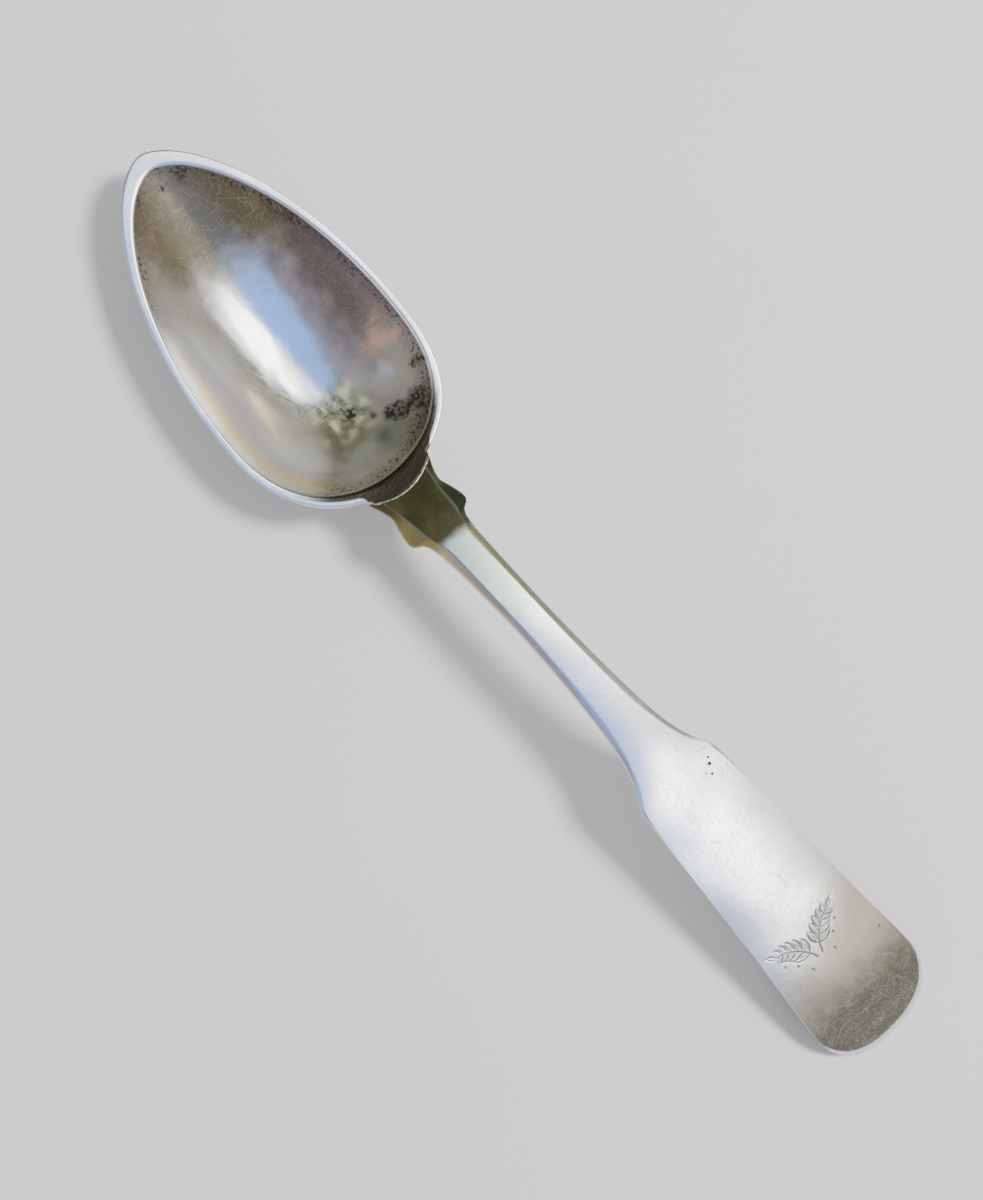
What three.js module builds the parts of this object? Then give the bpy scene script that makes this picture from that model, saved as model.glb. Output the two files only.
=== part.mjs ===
// A silver teaspoon with a fiddle-shaped handle, in millimetres.
//
// The spoon lies on its back on a table: +X runs from the tip of the bowl to the end of the
// handle, +Z is up, and the origin is on the table under the middle of the spoon.
//
// Every shape is first laid out along a straight spoon: a station (the distance from the tip of
// the bowl), a distance across from the middle line, and a height above the table. The middle line
// has a slight sideways set at the neck, as a spoon gets in use, and place() puts a point on it.

import * as THREE from 'three';

const LENGTH = 149;
const BOWL = {
  widest: 34,       // station of the greatest width
  halfWidth: 14.3,
  deepest: 31,      // station of the greatest depth
  heel: 17.9,       // from the widest station to where the sides would close
  wall: 0.65,       // thickness of the silver at the bottom
  rim: 0.8,         // width of the flat edge along the sides
  wornTip: 2.1,     // width of the flat edge at the worn tip
  innerHeel: 16.2,  // from the widest station to the end of the hollow
  footScale: 0.12,  // size of the flat that wear leaves under the bowl, as a part of the plan
  footSink: 0.2,    // depth of silver worn away there
  butt: 1.8,        // height of the face that meets the handle
  neckHalf: 4.9,    // half the width of the face that meets the handle
  tipPower: 0.6,    // how blunt the egg's tip is: 0.5 is an ellipse, and 1 is a point
  heelPower: 2.6,   // how square the egg's heel is: 2 is an ellipse
  heelSlope: 0.75,  // how steeply the hollow climbs at its heel: 1 is straight
  crossSlope: 0.9,  // the same at its sides
};
const SEAM = {
  station: 53.2,
  radius: 7.6,
  halfRound: 5.4,   // distance across past which the joint runs straight
  width: 0.4,
  halfSpan: 3.1,
  depth: 1.5,
  proud: 0.12,
};
const HANDLE = {
  endLength: 8.5,
  endHalf: 8.9,
  endPower: 2.3,    // how square the end is: 2 is an ellipse
  endBevel: 0.3,    // width of the bevel there
  faceShare: 0.97,  // most of the width that the flat face takes
  sideShare: 0.35,  // part of the height under the bevel that is upright
  curlLength: 2.5,  // length over which the seam's curve straightens out
};
const DROP = { tip: 41, halfWidth: 3.9, roundLength: 4.5, thick: 1.1, tipThick: 0.5, clearance: 0.45 };
const GAP = 0.3;    // between two pieces that touch
const SET = { station: 52, bowlSlope: 0.045, handleSlope: 0.0375, round: 4 };

/** A draughtsman's spline: the smoothest curve through [station, value] pairs. */
function spline(pairs) {
  const last = pairs.length - 1;
  const step = (i) => pairs[i + 1][0] - pairs[i][0];
  const slope = (i) => (pairs[i + 1][1] - pairs[i][1]) / step(i);
  const carry = [0];
  const bend = new Array(last + 1).fill(0);
  for (let i = 1; i < last; i++) {
    const pivot = 2 * (step(i - 1) + step(i)) - step(i - 1) * carry[i - 1];
    carry[i] = step(i) / pivot;
    bend[i] = (6 * (slope(i) - slope(i - 1)) - step(i - 1) * bend[i - 1]) / pivot;
  }
  for (let i = last - 1; i > 0; i--) bend[i] -= carry[i] * bend[i + 1];
  return (x) => {
    let i = 0;
    while (i < last - 1 && x > pairs[i + 1][0]) i++;
    const t = (x - pairs[i][0]) / step(i);
    const s = 1 - t;
    const sag = (s ** 3 - s) * bend[i] + (t ** 3 - t) * bend[i + 1];
    return s * pairs[i][1] + t * pairs[i + 1][1] + (step(i) ** 2 / 6) * sag;
  };
}

/** A rail through [station, value] pairs that never swings past them, so it can turn a corner. */
function rail(pairs) {
  const last = pairs.length - 1;
  const slope = (i) => (pairs[i + 1][1] - pairs[i][1]) / (pairs[i + 1][0] - pairs[i][0]);
  const tangent = (i) => {
    if (i === 0) return slope(0);
    if (i === last) return slope(last - 1);
    const product = slope(i - 1) * slope(i);
    return product <= 0 ? 0 : (2 * product) / (slope(i - 1) + slope(i));
  };
  return (x) => {
    let i = 0;
    while (i < last - 1 && x > pairs[i + 1][0]) i++;
    const step = pairs[i + 1][0] - pairs[i][0];
    const t = Math.min(1, Math.max(0, (x - pairs[i][0]) / step));
    const rise = t * t * (3 - 2 * t);
    const lean = step * t * (1 - t) * ((1 - t) * tangent(i) - t * tangent(i + 1));
    return (1 - rise) * pairs[i][1] + rise * pairs[i + 1][1] + lean;
  };
}

/** Puts a point of the straight spoon on the middle line with its sideways set. */
function place(station, across, height) {
  const from = station - SET.station;
  const reach = Math.hypot(from, SET.round);
  const mean = (SET.bowlSlope + SET.handleSlope) / 2;
  const skew = (SET.handleSlope - SET.bowlSlope) / 2;
  const turn = Math.atan(mean * from / reach + skew);
  const side = mean * reach + skew * from;
  return new THREE.Vector3(station - across * Math.sin(turn), side + across * Math.cos(turn), height);
}

/** A closed solid: a start point, rings with the same number of points, and an end point. */
function ringSolid(name, start, rings, end, material) {
  const count = rings[0].length;
  const points = [start, ...rings.flat(), end];
  const last = points.length - 1;
  const at = (ring, i) => 1 + ring * count + (i % count);
  const faces = [];
  for (let i = 0; i < count; i++) {
    faces.push(0, at(0, i), at(0, i + 1));
    for (let ring = 0; ring < rings.length - 1; ring++) {
      faces.push(at(ring, i), at(ring + 1, i), at(ring + 1, i + 1));
      faces.push(at(ring, i), at(ring + 1, i + 1), at(ring, i + 1));
    }
    faces.push(last, at(rings.length - 1, i + 1), at(rings.length - 1, i));
  }
  const geometry = new THREE.BufferGeometry().setFromPoints(points);
  geometry.setIndex(faces);
  geometry.computeVertexNormals();
  const mesh = new THREE.Mesh(geometry, material);
  mesh.name = name;
  return mesh;
}

/** The middle of a ring of points. */
function middle(ring) {
  return ring.reduce((sum, point) => sum.add(point), new THREE.Vector3()).divideScalar(ring.length);
}

// Side view. The rim climbs a little towards the handle; the handle rises steeply at the neck,
// arches over the stem and comes down to the table, turned down at its end.
const rimHeight = spline([[0, 8.0], [20, 8.4], [38, 9.15], [48, 9.95], [SEAM.station, 11.1]]);
const handleTop = spline([
  [SEAM.station, 11.15], [61, 13.4], [70, 14.6], [80, 14.8], [94, 13.5],
  [112, 10.3], [128, 7.0], [140, 4.2], [LENGTH, 0.88],
]);
const handleThickness = rail([[SEAM.station, 3.2], [58, 3.1], [66, 2.6], [78, 2.15], [92, 1.7],
  [104, 1.3], [120, 1.15], [LENGTH, 0.9]]);

/** Station of the middle of the round seam between bowl and handle, at a distance across. */
function seamStation(across) {
  const reach = Math.min(Math.abs(across), SEAM.halfRound);
  return SEAM.station - SEAM.radius + Math.sqrt(SEAM.radius ** 2 - reach ** 2);
}
const seamSide = SEAM.width / 2 + GAP;   // from the seam's middle to the pieces on either side
const handleStart = SEAM.station + seamSide;

// The bowl in plan is an egg, cut off at the heel by the round seam.
/** Half the width of an egg whose pointed end is at the station tip. */
function eggHalf(station, tip, heel, halfWidth) {
  const from = station - BOWL.widest;
  const length = from < 0 ? BOWL.widest - tip : heel;
  const part = Math.min(1, Math.abs(from) / length);
  return halfWidth * (from < 0 ? (1 - part ** 2) ** BOWL.tipPower : Math.sqrt(1 - part ** BOWL.heelPower));
}
const outerHalf = (x) => eggHalf(x, 0, BOWL.heel, BOWL.halfWidth);
const hollowHalf = (x) => eggHalf(x, BOWL.wornTip, BOWL.innerHeel, BOWL.halfWidth - BOWL.rim);
const insideHollow = (x, y) => Math.abs(y) < hollowHalf(x);
const insideOuter = (x, y) => {
  const across = Math.abs(y);
  if (across > BOWL.neckHalf) return across < outerHalf(x);
  return x < seamStation(y) - seamSide && (x > BOWL.widest || across < outerHalf(x));
};

/** The outline of a shape around the bowl's middle, one point for each of count directions. */
function outline(inside, count) {
  const points = [];
  for (let i = 0; i < count; i++) {
    const angle = (2 * Math.PI * i) / count;
    const along = Math.cos(angle) * (Math.cos(angle) < 0 ? BOWL.widest : SEAM.station - BOWL.widest);
    const across = Math.sin(angle) * BOWL.halfWidth;
    let low = 0;
    let high = 1.5;
    for (let halving = 0; halving < 30; halving++) {
      const scale = (low + high) / 2;
      if (inside(BOWL.widest + along * scale, across * scale)) low = scale;
      else high = scale;
    }
    points.push([along * low, across * low]);
  }
  return points;
}

/** How deep a bowl is at a point: 0 on its edge, 1 at the deepest station's middle. */
function bowlDepth(station, across, tip, end, half) {
  const part = Math.min(1, Math.max(0, (station - tip) / (end - tip)));
  const deepest = (BOWL.deepest - tip) / (end - tip);
  const tipSlope = (BOWL.heelSlope * deepest) / (1 - deepest);
  const lengthwise = (part / deepest) ** tipSlope * ((1 - part) / (1 - deepest)) ** BOWL.heelSlope;
  const crosswise = half > 0 ? Math.max(0, 1 - (across / half) ** 2) ** BOWL.crossSlope : 0;
  return lengthwise * crosswise;
}
const deepRim = rimHeight(BOWL.deepest);
const edgeHeight = rail([[0, 0.35], [44, 0.35], [50, 1.2], [SEAM.station, BOWL.butt]]);
const hollowEnd = BOWL.widest + BOWL.innerHeel;

/** Height of the hollow's surface. */
function hollowHeight(x, y) {
  const depth = bowlDepth(x, y, BOWL.wornTip, hollowEnd, hollowHalf(x));
  return rimHeight(x) - (deepRim - BOWL.wall) * depth;
}

/** Height of the bowl's outside, with the flat that wear leaves. */
function backHeight(x, y) {
  const depth = bowlDepth(x, y, 0, SEAM.station, Math.max(outerHalf(x), BOWL.neckHalf + 0.1));
  return Math.max(0, rimHeight(x) - edgeHeight(x) - (deepRim - edgeHeight(0) + BOWL.footSink) * depth);
}

function bowl(material) {
  const count = 72;
  const ring = (points, scale, height) => points.map(([along, across]) => {
    const x = BOWL.widest + along * scale;
    const y = across * scale;
    return place(x, y, height(x, y));
  });
  const inner = outline(insideHollow, count);
  const outer = outline(insideOuter, count);
  const hollowScales = [0.15, 0.3, 0.45, 0.6, 0.72, 0.82, 0.9, 0.96];
  const backScales = [0.97, 0.92, 0.84, 0.74, 0.62, 0.5, 0.38, 0.25, BOWL.footScale];
  const rings = [
    ...hollowScales.map((scale) => ring(inner, scale, hollowHeight)),
    ring(inner, 1, rimHeight),
    ring(outer, 1, rimHeight),
    ring(outer, 1, (x) => rimHeight(x) - edgeHeight(x)),
    ...backScales.map((scale) => ring(outer, scale, backHeight)),
  ];
  const centre = BOWL.widest;
  const floor = place(centre, 0, hollowHeight(centre, 0));
  return ringSolid('bowl', floor, rings, place(centre, 0, 0), material);
}

// The handle: neck with two small fins, stem with bevelled edges, shoulders and a fiddle end.
const sideHalf = rail([
  [handleStart, BOWL.neckHalf], [54.2, 4.1], [55, 3.85], [56, 4.2], [58.4, 4.62], [59, 4.35],
  [59.6, 3.45], [60.5, 3.0], [63, 2.72], [68, 2.52], [74, 2.47], [82, 2.64], [90, 3.08], [95, 3.68],
  [98.5, 4.6], [100.6, 5.55], [101.7, 6.2], [102.6, 6.33], [108, 6.69], [124, 7.62], [136, 8.55],
  [LENGTH - HANDLE.endLength, HANDLE.endHalf],
]);
const faceHalf = rail([
  [handleStart, 3.2], [56, 2.65], [60, 2.15], [62.5, 1.6], [76, 1.6], [84, 1.75], [90, 2.1], [96, 3.2],
  [100, 4.6], [102, 5.75], [104, 6.2], [LENGTH - HANDLE.endLength, HANDLE.endHalf - HANDLE.endBevel],
]);
const bevelDrop = rail([
  [handleStart, 0.9], [58, 1.1], [62, 0.8], [70, 0.55], [84, 0.45], [96, 0.3], [103, 0.15],
  [LENGTH, 0.12],
]);

/** Half the width of the handle, with its rounded end. */
function handleHalf(x) {
  const past = Math.max(0, x - (LENGTH - HANDLE.endLength)) / HANDLE.endLength;
  return sideHalf(x) * Math.max(0, 1 - past ** HANDLE.endPower) ** (1 / HANDLE.endPower);
}

/** One cross-section of the handle: flat face, bevels, short sides and a rounded back. */
function handleRing(x, scale = 1) {
  const half = handleHalf(x);
  const top = handleTop(x);
  const thick = handleThickness(x);
  const face = Math.min(faceHalf(x), half * HANDLE.faceShare);
  const drop = bevelDrop(x);
  const side = drop + (thick - drop) * HANDLE.sideShare;
  const curl = Math.max(0, 1 - (x - handleStart) / HANDLE.curlLength);
  const halfLoop = [[face / 2, 0], [face, 0], [half, drop], [half, side], [half * 0.72, thick * 0.9],
    [half * 0.3, thick]];
  const loop = [[0, 0], ...halfLoop, ...halfLoop.map(([y, z]) => [-y, z]).reverse()];
  return loop.map(([y, z]) => {
    const back = SEAM.station - seamStation(y * scale);
    return place(x - curl * back, y * scale, Math.max(0, top - thick / 2 + (thick / 2 - z) * scale));
  });
}

/** Stations along the handle, closer together where its outline turns quickly. */
function handleStations() {
  const last = LENGTH - 0.04;
  const stations = [handleStart];
  const pace = 2.4;
  for (let x = handleStart; x < last;) {
    const lean = (handleHalf(x + 0.2) - handleHalf(x)) / 0.2;
    x += Math.max(0.12, pace / (1 + 6 * Math.abs(lean)));
    stations.push(Math.min(x, last));
  }
  return stations;
}

function handle(material) {
  const stations = handleStations();
  const frontFace = [0.3, 0.65].map((scale) => handleRing(handleStart, scale));
  const rings = [...frontFace, ...stations.map((x) => handleRing(x))];
  const start = place(stations[0], 0, handleTop(stations[0]) - handleThickness(stations[0]) / 2);
  const end = place(LENGTH, 0, handleTop(LENGTH) / 2);
  return ringSolid('handle', start, rings, end, material);
}

// The back of the joint: a tongue-shaped drop under the heel carries the butt joint above it.
function heelDrop(material) {
  const steps = 12;
  const across = [-1, -0.85, -0.55, 0, 0.55, 0.85, 1];
  const rings = [];
  for (let i = 0; i <= steps; i++) {
    const part = 0.02 + 0.98 * (i / steps) ** 1.3;
    const round = Math.min(1, (part * (SEAM.station - DROP.tip)) / DROP.roundLength);
    const half = DROP.halfWidth * Math.sqrt(1 - (1 - round) ** 2) * (1 - 0.16 * part ** 4);
    const thick = DROP.tipThick + (DROP.thick - DROP.tipThick) * Math.sin(Math.PI * Math.min(part, 0.9));
    const end = (y) => seamStation(y) + SEAM.width / 2;
    const point = (side, lower) => {
      const y = side * half;
      const x = DROP.tip + part * (end(y) - DROP.tip);
      const under = backHeight(x, y) - DROP.clearance;
      return place(x, y, under - (lower ? thick * (1 - 0.75 * side ** 4) : 0));
    };
    rings.push([
      ...across.map((side) => point(side, false)),
      ...across.toReversed().map((side) => point(side, true)),
    ]);
  }
  return ringSolid('heel_drop', middle(rings[0]), rings, middle(rings.at(-1)), material);
}

// The solder that fills the butt joint, standing a little proud as a fine bright line.
function solderSeam(material) {
  const steps = 12;
  const rings = [];
  for (let i = 0; i <= steps; i++) {
    const y = SEAM.halfSpan * ((2 * i) / steps - 1);
    const x = seamStation(y);
    const top = rimHeight(x) + SEAM.proud;
    const bottom = rimHeight(x) - SEAM.depth;
    const side = SEAM.width / 2;
    rings.push([place(x + side, y, top), place(x - side, y, top), place(x - side, y, bottom),
      place(x + side, y, bottom)]);
  }
  return ringSolid('solder_seam', middle(rings[0]), rings, middle(rings.at(-1)), material);
}

const silver = new THREE.MeshStandardMaterial({ color: 0xc9c6bd, roughness: 0.22, metalness: 1 });
const solder = new THREE.MeshStandardMaterial({ color: 0xd6d0bc, roughness: 0.3, metalness: 1 });

const spoon = new THREE.Group();
spoon.add(bowl(silver.clone()), handle(silver.clone()), heelDrop(silver.clone()), solderSeam(solder));
const box = new THREE.Box3().setFromObject(spoon);
const centre = box.getCenter(new THREE.Vector3());
spoon.position.set(-centre.x, -centre.y, -box.min.z);
export default spoon;
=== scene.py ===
# %% [markdown]
# # An old silver teaspoon
# This lesson dresses a imported CAD teaspoon for its picture. The CAD model is the frame: it says how
# long the spoon is and where every piece sits. Blender adds what a plain solid lacks: the eased
# edges of worn silver, an engraved spray on the handle, tarnish, scratches and black speckles, and
# some reflections painted into the silver's colour.

# %% Load the frame
import math
import random

import bmesh
import bpy
import numpy as np
from mathutils import Matrix, Vector


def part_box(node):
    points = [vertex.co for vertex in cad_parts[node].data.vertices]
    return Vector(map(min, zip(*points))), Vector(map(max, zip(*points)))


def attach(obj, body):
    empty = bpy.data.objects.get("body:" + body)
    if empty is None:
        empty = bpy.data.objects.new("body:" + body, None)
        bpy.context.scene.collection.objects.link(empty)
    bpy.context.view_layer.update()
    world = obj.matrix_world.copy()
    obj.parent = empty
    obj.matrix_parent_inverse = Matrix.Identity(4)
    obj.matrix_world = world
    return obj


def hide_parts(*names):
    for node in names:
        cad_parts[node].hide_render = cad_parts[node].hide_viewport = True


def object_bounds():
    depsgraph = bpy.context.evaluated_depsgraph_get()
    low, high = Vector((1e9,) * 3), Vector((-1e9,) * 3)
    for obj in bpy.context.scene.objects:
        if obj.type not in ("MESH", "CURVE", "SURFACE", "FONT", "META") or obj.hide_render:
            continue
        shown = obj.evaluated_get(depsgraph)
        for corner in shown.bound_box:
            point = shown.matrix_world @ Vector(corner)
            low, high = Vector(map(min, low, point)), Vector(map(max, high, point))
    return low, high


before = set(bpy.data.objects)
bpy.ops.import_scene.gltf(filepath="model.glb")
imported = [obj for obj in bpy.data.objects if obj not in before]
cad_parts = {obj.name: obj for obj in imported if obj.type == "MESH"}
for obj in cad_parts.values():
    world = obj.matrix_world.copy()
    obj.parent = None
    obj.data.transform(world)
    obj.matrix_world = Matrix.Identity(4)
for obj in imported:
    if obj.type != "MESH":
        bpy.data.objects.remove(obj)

cad_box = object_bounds()
scene = bpy.context.scene
MM = 0.001
print("CAD nodes:", sorted(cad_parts))
print("CAD box in mm:", [[round(c / MM, 1) for c in corner] for corner in cad_box])

# %% [markdown]
# ## Camera
# The spoon is seen from almost straight above, a little from the lower left, and it lies across the
# picture from the upper left to the lower right. The camera is close, about 20 cm, so the lens is
# a short one for this long side of the picture. Turning the camera about its own line of sight
# lays the spoon on the diagonal.

# %% Place the camera
CAMERA_AT = Vector((-11.8, -25.8, 194.4)) * MM
LOOKS_AT = Vector((-3.9, -0.4, 0.0)) * MM
CAMERA_TURN = math.radians(-49.2)
LENS, SENSOR = 45.0, 36.0      # millimetres
NEAREST = 10.0 * MM            # nothing closer to the camera than this is drawn

camera_data = bpy.data.cameras.new("camera")
camera_data.lens = LENS
camera_data.sensor_width = SENSOR
camera_data.clip_start = NEAREST
camera = bpy.data.objects.new("camera", camera_data)
camera.location = CAMERA_AT
facing = (LOOKS_AT - CAMERA_AT).normalized()
right = Vector((math.cos(CAMERA_TURN), -math.sin(CAMERA_TURN), 0.0))
right = (right - facing * right.dot(facing)).normalized()
up = right.cross(facing)
camera.rotation_euler = Matrix((right, up, -facing)).transposed().to_euler()
scene.collection.objects.link(camera)
scene.camera = camera
print("camera is", round((LOOKS_AT - CAMERA_AT).length / MM), "mm from the spoon")

# %% [markdown]
# ## The spoon's drawing
# A silversmith draws a spoon as a plan and a side view along a straight middle line. The same
# drawing is used here: a station (distance from the bowl's tip), a distance across, and a height,
# all in millimetres. Two kinds of curve join the drawing's points. A spline is as smooth as
# possible, which polished silver needs, because a mirror shows every kink. A rail never swings
# past its points, so it can turn the sharp corners of the fins and shoulders.


# %% Curves through points
def spline(pairs):
    """The smoothest curve through (station, value) pairs, straight at both ends."""
    x, y = np.array(pairs, float).T
    step = np.diff(x)
    slope = np.diff(y) / step
    bend = np.zeros(len(x))
    inner = np.diag(2 * (step[:-1] + step[1:])) + np.diag(step[1:-1], 1) + np.diag(step[1:-1], -1)
    bend[1:-1] = np.linalg.solve(inner, 6 * np.diff(slope))

    def value(at):
        at = np.asarray(at, float)
        i = np.clip(np.searchsorted(x, at, side="left") - 1, 0, len(step) - 1)
        t = (at - x[i]) / step[i]
        s = 1 - t
        sag = (s**3 - s) * bend[i] + (t**3 - t) * bend[i + 1]
        return s * y[i] + t * y[i + 1] + step[i] ** 2 / 6 * sag

    return value


def rail(pairs):
    """A curve through (station, value) pairs that never swings past them."""
    x, y = np.array(pairs, float).T
    step = np.diff(x)
    slope = np.diff(y) / step
    product = slope[:-1] * slope[1:]
    total = np.where(product > 0, slope[:-1] + slope[1:], 1.0)
    tangent = np.concatenate([slope[:1], np.where(product > 0, 2 * product / total, 0.0), slope[-1:]])

    def value(at):
        at = np.asarray(at, float)
        i = np.clip(np.searchsorted(x, at, side="left") - 1, 0, len(step) - 1)
        t = np.clip((at - x[i]) / step[i], 0, 1)
        rise = t * t * (3 - 2 * t)
        lean = step[i] * t * (1 - t) * ((1 - t) * tangent[i] - t * tangent[i + 1])
        return (1 - rise) * y[i] + rise * y[i + 1] + lean

    return value


STEP_UP = [(0, 0), (1, 0), (2, 1), (3, 1)]
for kind, curve in (("spline", spline(STEP_UP)), ("rail", rail(STEP_UP))):
    print("before a step, a", kind, "is at", round(float(curve(0.6)), 3))

# %% The spoon's sizes
LENGTH = 149.0
WIDEST, BOWL_HALF = 34.0, 14.3      # the bowl's widest station, and half its width there
TIP_POWER, HEEL_POWER = 0.6, 2.6    # how full the egg is at its pointed and at its round end
DEEPEST = 31.0
HEEL, INNER_HEEL = 17.9, 16.2       # from the widest station to where the egg and its hollow close
WALL, RIM, WORN_TIP = 0.65, 0.8, 2.1        # sheet, flat rim at the side, flat rim at the tip
FOOT_SINK = 0.2                     # silver worn off the bottom
SEAM, SEAM_RADIUS, SEAM_HALF = 53.2, 7.6, 0.05
SEAM_REACH = 5.4                    # the round seam runs straight on beyond this distance across
NECK_HALF = 4.9                     # half the width where bowl and handle meet
END_LENGTH, END_HALF, END_POWER = 8.5, 8.9, 2.3
END_START = LENGTH - END_LENGTH

rim_height = spline([(0, 8.0), (20, 8.4), (38, 9.15), (48, 9.95), (SEAM, 11.1)])
edge_height = rail([(0, 0.35), (44, 0.35), (50, 1.2), (SEAM, 1.8)])
handle_top = spline([
    (SEAM, 11.15), (61, 13.4), (70, 14.6), (80, 14.8), (94, 13.5),
    (112, 10.3), (128, 7.0), (140, 4.2), (LENGTH, 0.88),
])
handle_thickness = rail([
    (SEAM, 3.2), (58, 3.1), (66, 2.6), (78, 2.15), (92, 1.7), (104, 1.3), (120, 1.15), (LENGTH, 0.9),
])
side_half = rail([
    (SEAM, NECK_HALF), (54.2, 4.1), (55, 3.85), (56, 4.2), (58.4, 4.62), (59, 4.35), (59.6, 3.45),
    (60.5, 3.0), (63, 2.72), (68, 2.52), (74, 2.47), (82, 2.64), (90, 3.08), (95, 3.68),
    (98.5, 4.6), (100.6, 5.55), (101.7, 6.2), (102.6, 6.33), (108, 6.69), (124, 7.62),
    (136, 8.55), (END_START, END_HALF),
])
face_half = rail([
    (53.7, 3.2), (56, 2.65), (60, 2.15), (62.5, 1.6), (76, 1.6), (84, 1.75), (90, 2.1), (96, 3.2),
    (100, 4.6), (102, 5.75), (104, 6.2), (END_START, END_HALF - 0.3),
])
bevel_drop = rail([
    (53.7, 0.9), (58, 1.1), (62, 0.8), (70, 0.55), (84, 0.45), (96, 0.3), (103, 0.15), (LENGTH, 0.12),
])
print("the arch is", round(float(handle_top(np.arange(SEAM, LENGTH)).max()), 2), "mm high")

# %% [markdown]
# ## From the drawing to the table
# Old spoons rarely stay straight: this one has a slight sideways set at the neck. The middle line
# is two gentle slopes with a rounded corner between them, and every point of the drawing is placed
# square to it. The frame then says where the drawing lies on the table: its tip is the low end
# of the CAD box, and its bowl is centred between the sides of the CAD bowl.

# %% Put points on the bent middle line
SET_AT, SET_ROUND = 52.0, 4.0
BOWL_SLOPE, HANDLE_SLOPE = 0.045, 0.0375
MEAN_SLOPE = (BOWL_SLOPE + HANDLE_SLOPE) / 2
SLOPE_SKEW = (HANDLE_SLOPE - BOWL_SLOPE) / 2


def on_middle_line(station, across):
    """x and y in millimetres of a point of the drawing, with the tip at 0, 0."""
    past = station - SET_AT
    reach = np.hypot(past, SET_ROUND)
    turn = np.arctan(MEAN_SLOPE * past / reach + SLOPE_SKEW)
    side = MEAN_SLOPE * reach + SLOPE_SKEW * past
    return station - across * np.sin(turn), side + across * np.cos(turn)


def egg_half(station, tip, heel, half):
    """Half the width of an egg whose pointed end is at the station tip."""
    past = np.asarray(station, float) - WIDEST
    part = np.minimum(1, np.where(past < 0, -past / (WIDEST - tip), past / heel))
    return half * np.where(past < 0, (1 - part**2) ** TIP_POWER, np.sqrt(1 - part**HEEL_POWER))


stations = np.linspace(0, SEAM, 500)
egg_halves = egg_half(stations, 0, HEEL, BOWL_HALF)
edges = [on_middle_line(stations, sign * egg_halves)[1] for sign in (1, -1)]
bowl_low, bowl_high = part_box("bowl")
SHIFT = np.array([
    cad_box[0][0] / MM,
    (bowl_low.y + bowl_high.y) / 2 / MM - (edges[0].max() + edges[1].min()) / 2,
    0.0,
])


def place(station, across, height):
    """Points of the drawing as metres in the spoon's frame."""
    station, across, height = np.broadcast_arrays(station, across, height)
    x, y = on_middle_line(station, across)
    return (np.stack([x, y, np.maximum(height, 0)], axis=-1) + SHIFT) * MM


print("the drawing is shifted by", SHIFT.round(2), "mm")

# %% [markdown]
# ## Mesh helpers
# Both large pieces are skins over the drawing: rows of points joined by faces. A small helper turns
# points and faces into a Blender object whose place is in its mesh and whose faces point outwards.
# Hand work leaves faint waves of a few hundredths of a millimetre in the silver. They are too
# small to feel, but they bend the reflections, so a few long sine waves are added to all heights.


# %% Mesh helpers
def new_piece(name, points, faces):
    """A smooth-shaded mesh object with its faces pointing outwards."""
    mesh = bpy.data.meshes.new(name)
    mesh.from_pydata([tuple(p) for p in points], [], faces)
    mesh.validate()
    mesh.update()
    piece = bpy.data.objects.new(name, mesh)
    scene.collection.objects.link(piece)
    work = bmesh.new()
    work.from_mesh(mesh)
    bmesh.ops.recalc_face_normals(work, faces=work.faces)
    work.to_mesh(mesh)
    work.free()
    mesh.shade_smooth()
    print(name, "has", len(mesh.vertices), "points and", len(mesh.polygons), "faces")
    return piece


def ring_faces(rings):
    """Quads between rings of point numbers, each closed on itself."""
    faces = []
    for inner, outer in zip(rings[:-1], rings[1:]):
        for i in range(len(inner)):
            j = (i + 1) % len(inner)
            faces.append((inner[i], outer[i], outer[j], inner[j]))
    return faces


def eased(rows, passes):
    """Rows of points with the corners between them rubbed down; the first and last row stay."""
    for _ in range(passes):
        rows[1:-1] = 0.25 * rows[:-2] + 0.5 * rows[1:-1] + 0.25 * rows[2:]
    return rows


WAVE_COUNT, WAVE_HEIGHT, WAVE_LENGTH = 9, (0.006, 0.014), (9, 26)
luck = random.Random(7)
WAVES = [
    (luck.uniform(*WAVE_HEIGHT), luck.uniform(*WAVE_LENGTH),
     luck.uniform(0, math.tau), luck.uniform(0, math.tau))
    for _ in range(WAVE_COUNT)
]


def hand_work(station, across):
    """The faint waves that hammering and use leave, in millimetres."""
    total = 0.0
    for height, length, heading, phase in WAVES:
        along = station * math.cos(heading) + across * math.sin(heading)
        total = total + height * np.sin(math.tau * along / length + phase)
    return total


def seam_station(across):
    """Station of the middle of the round seam at a distance across."""
    reach = np.minimum(np.abs(across), SEAM_REACH)
    return SEAM - SEAM_RADIUS + np.sqrt(SEAM_RADIUS**2 - reach**2)


print("the waves are at most", round(sum(wave[0] for wave in WAVES), 2), "mm high together")

# %% [markdown]
# ## The bowl
# The bowl is an egg in plan and a shallow dish in section, deepest a little towards the handle. It
# could be a subdivided cage pulled into shape by hand, but a dish follows a rule: its depth is a
# product of one curve along the spoon and one across it, and both reach zero on the hollow's
# edge. So the skin is made of rings that grow from the middle of the hollow, cross the flat rim,
# go round its edge and shrink again under the back. The rings next to the rim are rubbed down, as
# two centuries of polishing would do.


# %% Heights of the bowl
DISH_HEEL_POWER, DISH_SIDE_POWER = 0.75, 0.9        # how steeply the dish rises at the heel and the sides
TINY = 1e-6


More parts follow.
